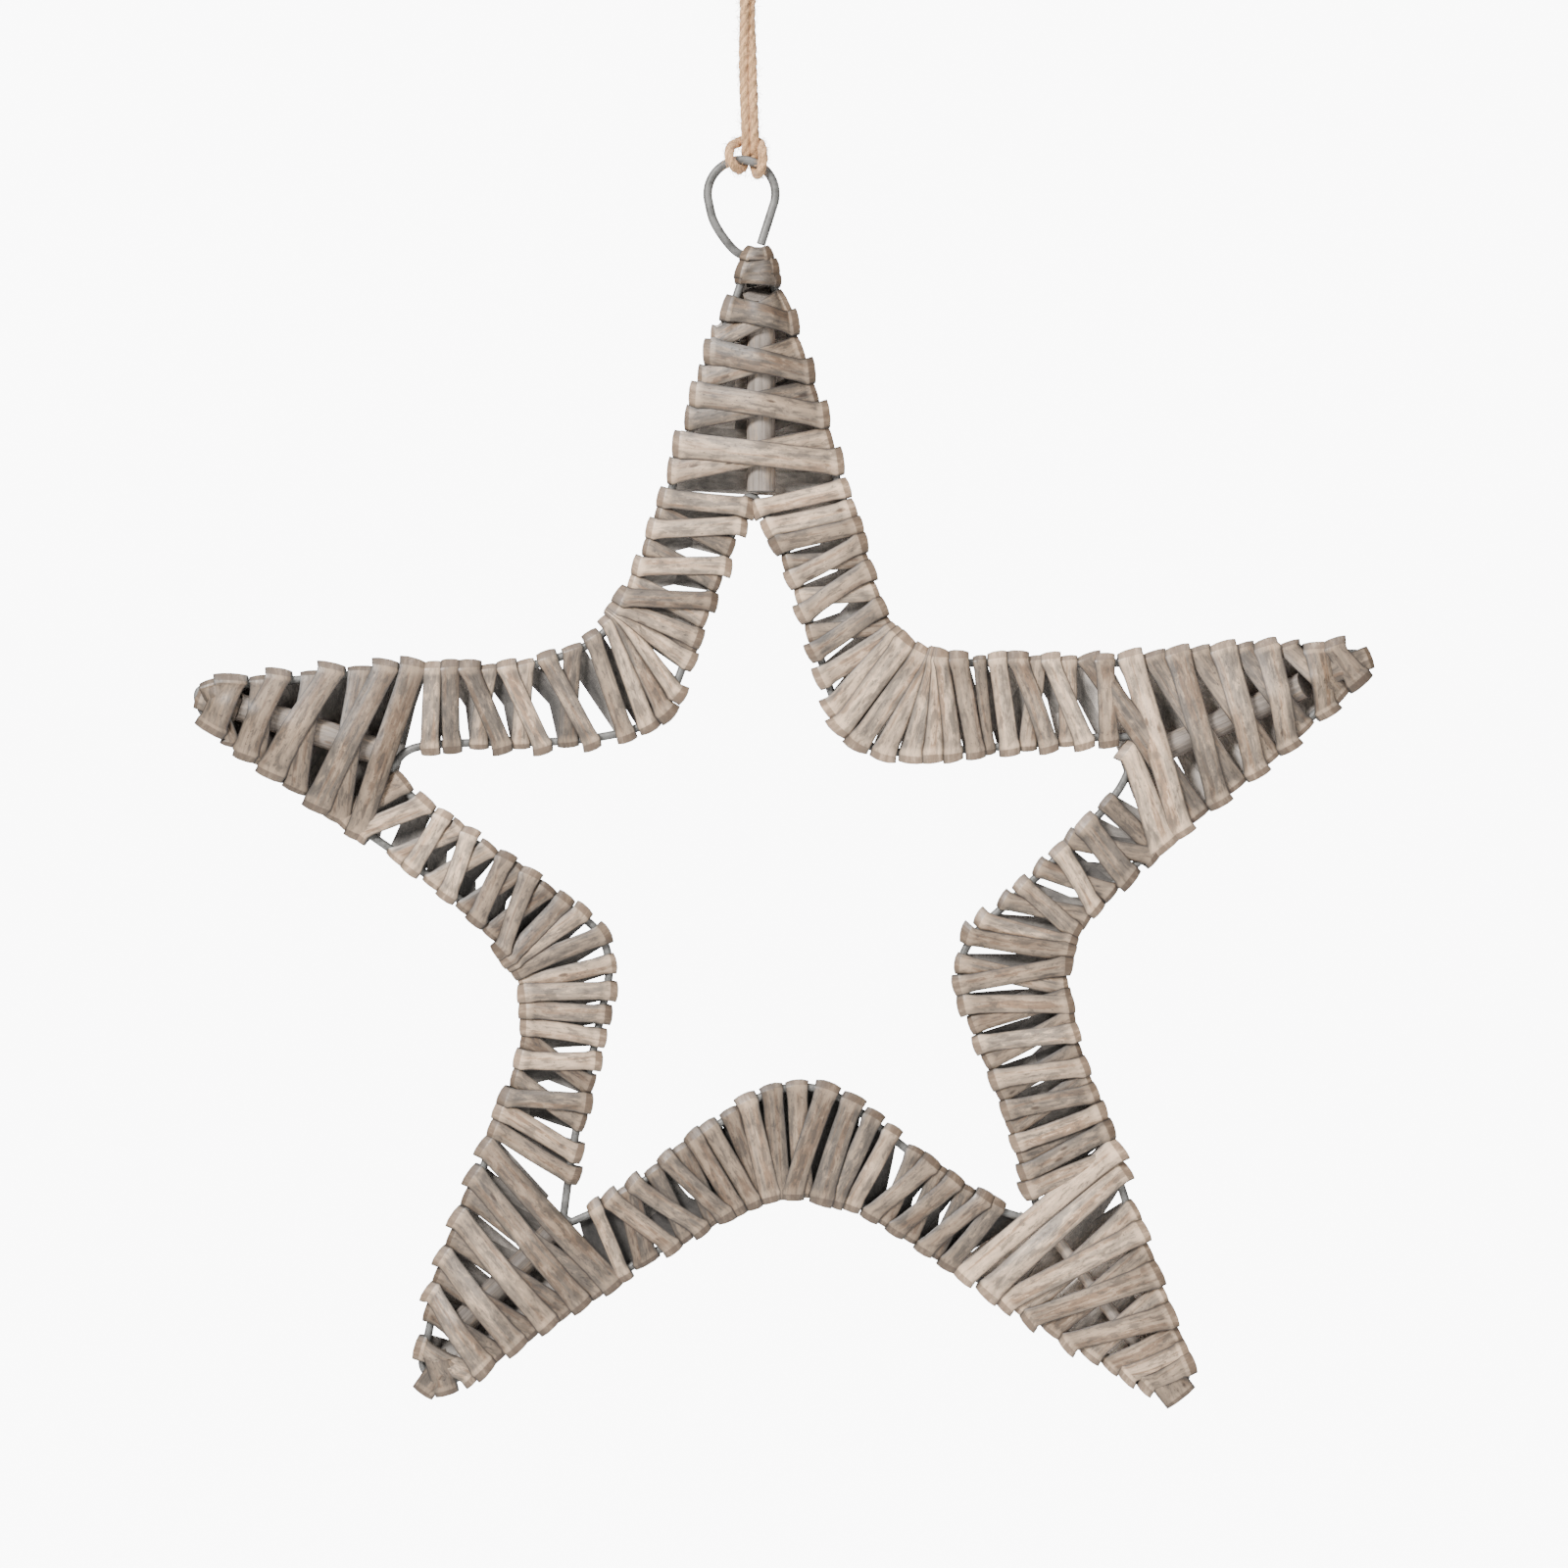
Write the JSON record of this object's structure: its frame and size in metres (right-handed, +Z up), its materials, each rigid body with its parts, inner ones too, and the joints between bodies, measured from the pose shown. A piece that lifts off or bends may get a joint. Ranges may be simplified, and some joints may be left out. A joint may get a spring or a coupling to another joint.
{
  "type": "hanging wicker star",
  "caption": "Open star of split willow wound over bent wires, with round rods in its tips, a teardrop wire ring and a jute string to hang it by.",
  "frame": {"origin": "the hanging point: between the two strands of the jute string, just under its knot", "axes": "+Z up along the string, the star hangs in the XZ plane and faces -Y, +Y through its thickness, away from the viewer"},
  "size_m": [0.3971, 0.0152, 0.511],
  "materials": {
    "willow_over_strips": "grey-washed split willow, satin, with long grain, bud scars and lighter worn folds",
    "willow_under_strips": "grey-washed split willow, in the shade of the strips over it",
    "willow_rods": "round willow with the bark off, matt, grey-washed",
    "galvanised_wire": "dull grey galvanised steel",
    "jute": "laid jute twine, hairy"
  },
  "bodies": {
    "root": {"outer_wire": "galvanised_wire", "inner_wire": "galvanised_wire", "hanging_ring": "galvanised_wire", "top_right_before_valley_over_strip": "willow_over_strips", "top_right_before_valley_under_strip": "willow_under_strips", "top_right_after_valley_over_strip": "willow_over_strips", "top_right_after_valley_under_strip": "willow_under_strips", "right_before_valley_over_strip": "willow_over_strips", "right_before_valley_under_strip": "willow_under_strips", "right_after_valley_over_strip": "willow_over_strips", "right_after_valley_under_strip": "willow_under_strips", "bottom_before_valley_over_strip": "willow_over_strips", "bottom_before_valley_under_strip": "willow_under_strips", "bottom_after_valley_over_strip": "willow_over_strips", "bottom_after_valley_under_strip": "willow_under_strips", "left_before_valley_over_strip": "willow_over_strips", "left_before_valley_under_strip": "willow_under_strips", "left_after_valley_over_strip": "willow_over_strips", "left_after_valley_under_strip": "willow_under_strips", "top_left_before_valley_over_strip": "willow_over_strips", "top_left_before_valley_under_strip": "willow_under_strips", "top_left_after_valley_over_strip": "willow_over_strips", "top_left_after_valley_under_strip": "willow_under_strips", "top_tip_over_strip": "willow_over_strips", "top_tip_under_strip": "willow_under_strips", "top_tip_binding": "willow_over_strips", "top_tip_rod": "willow_rods", "right_tip_over_strip": "willow_over_strips", "right_tip_under_strip": "willow_under_strips", "right_tip_binding": "willow_over_strips", "right_tip_rod": "willow_rods", "bottom_right_tip_over_strip": "willow_over_strips", "bottom_right_tip_under_strip": "willow_under_strips", "bottom_right_tip_binding": "willow_over_strips", "bottom_right_tip_rod": "willow_rods", "bottom_left_tip_over_strip": "willow_over_strips", "bottom_left_tip_under_strip": "willow_under_strips", "bottom_left_tip_binding": "willow_over_strips", "bottom_left_tip_rod": "willow_rods", "left_tip_over_strip": "willow_over_strips", "left_tip_under_strip": "willow_under_strips", "left_tip_binding": "willow_over_strips", "left_tip_rod": "willow_rods", "jute_string": "jute", "string_knot": "jute"}
  },
  "joints": []
}
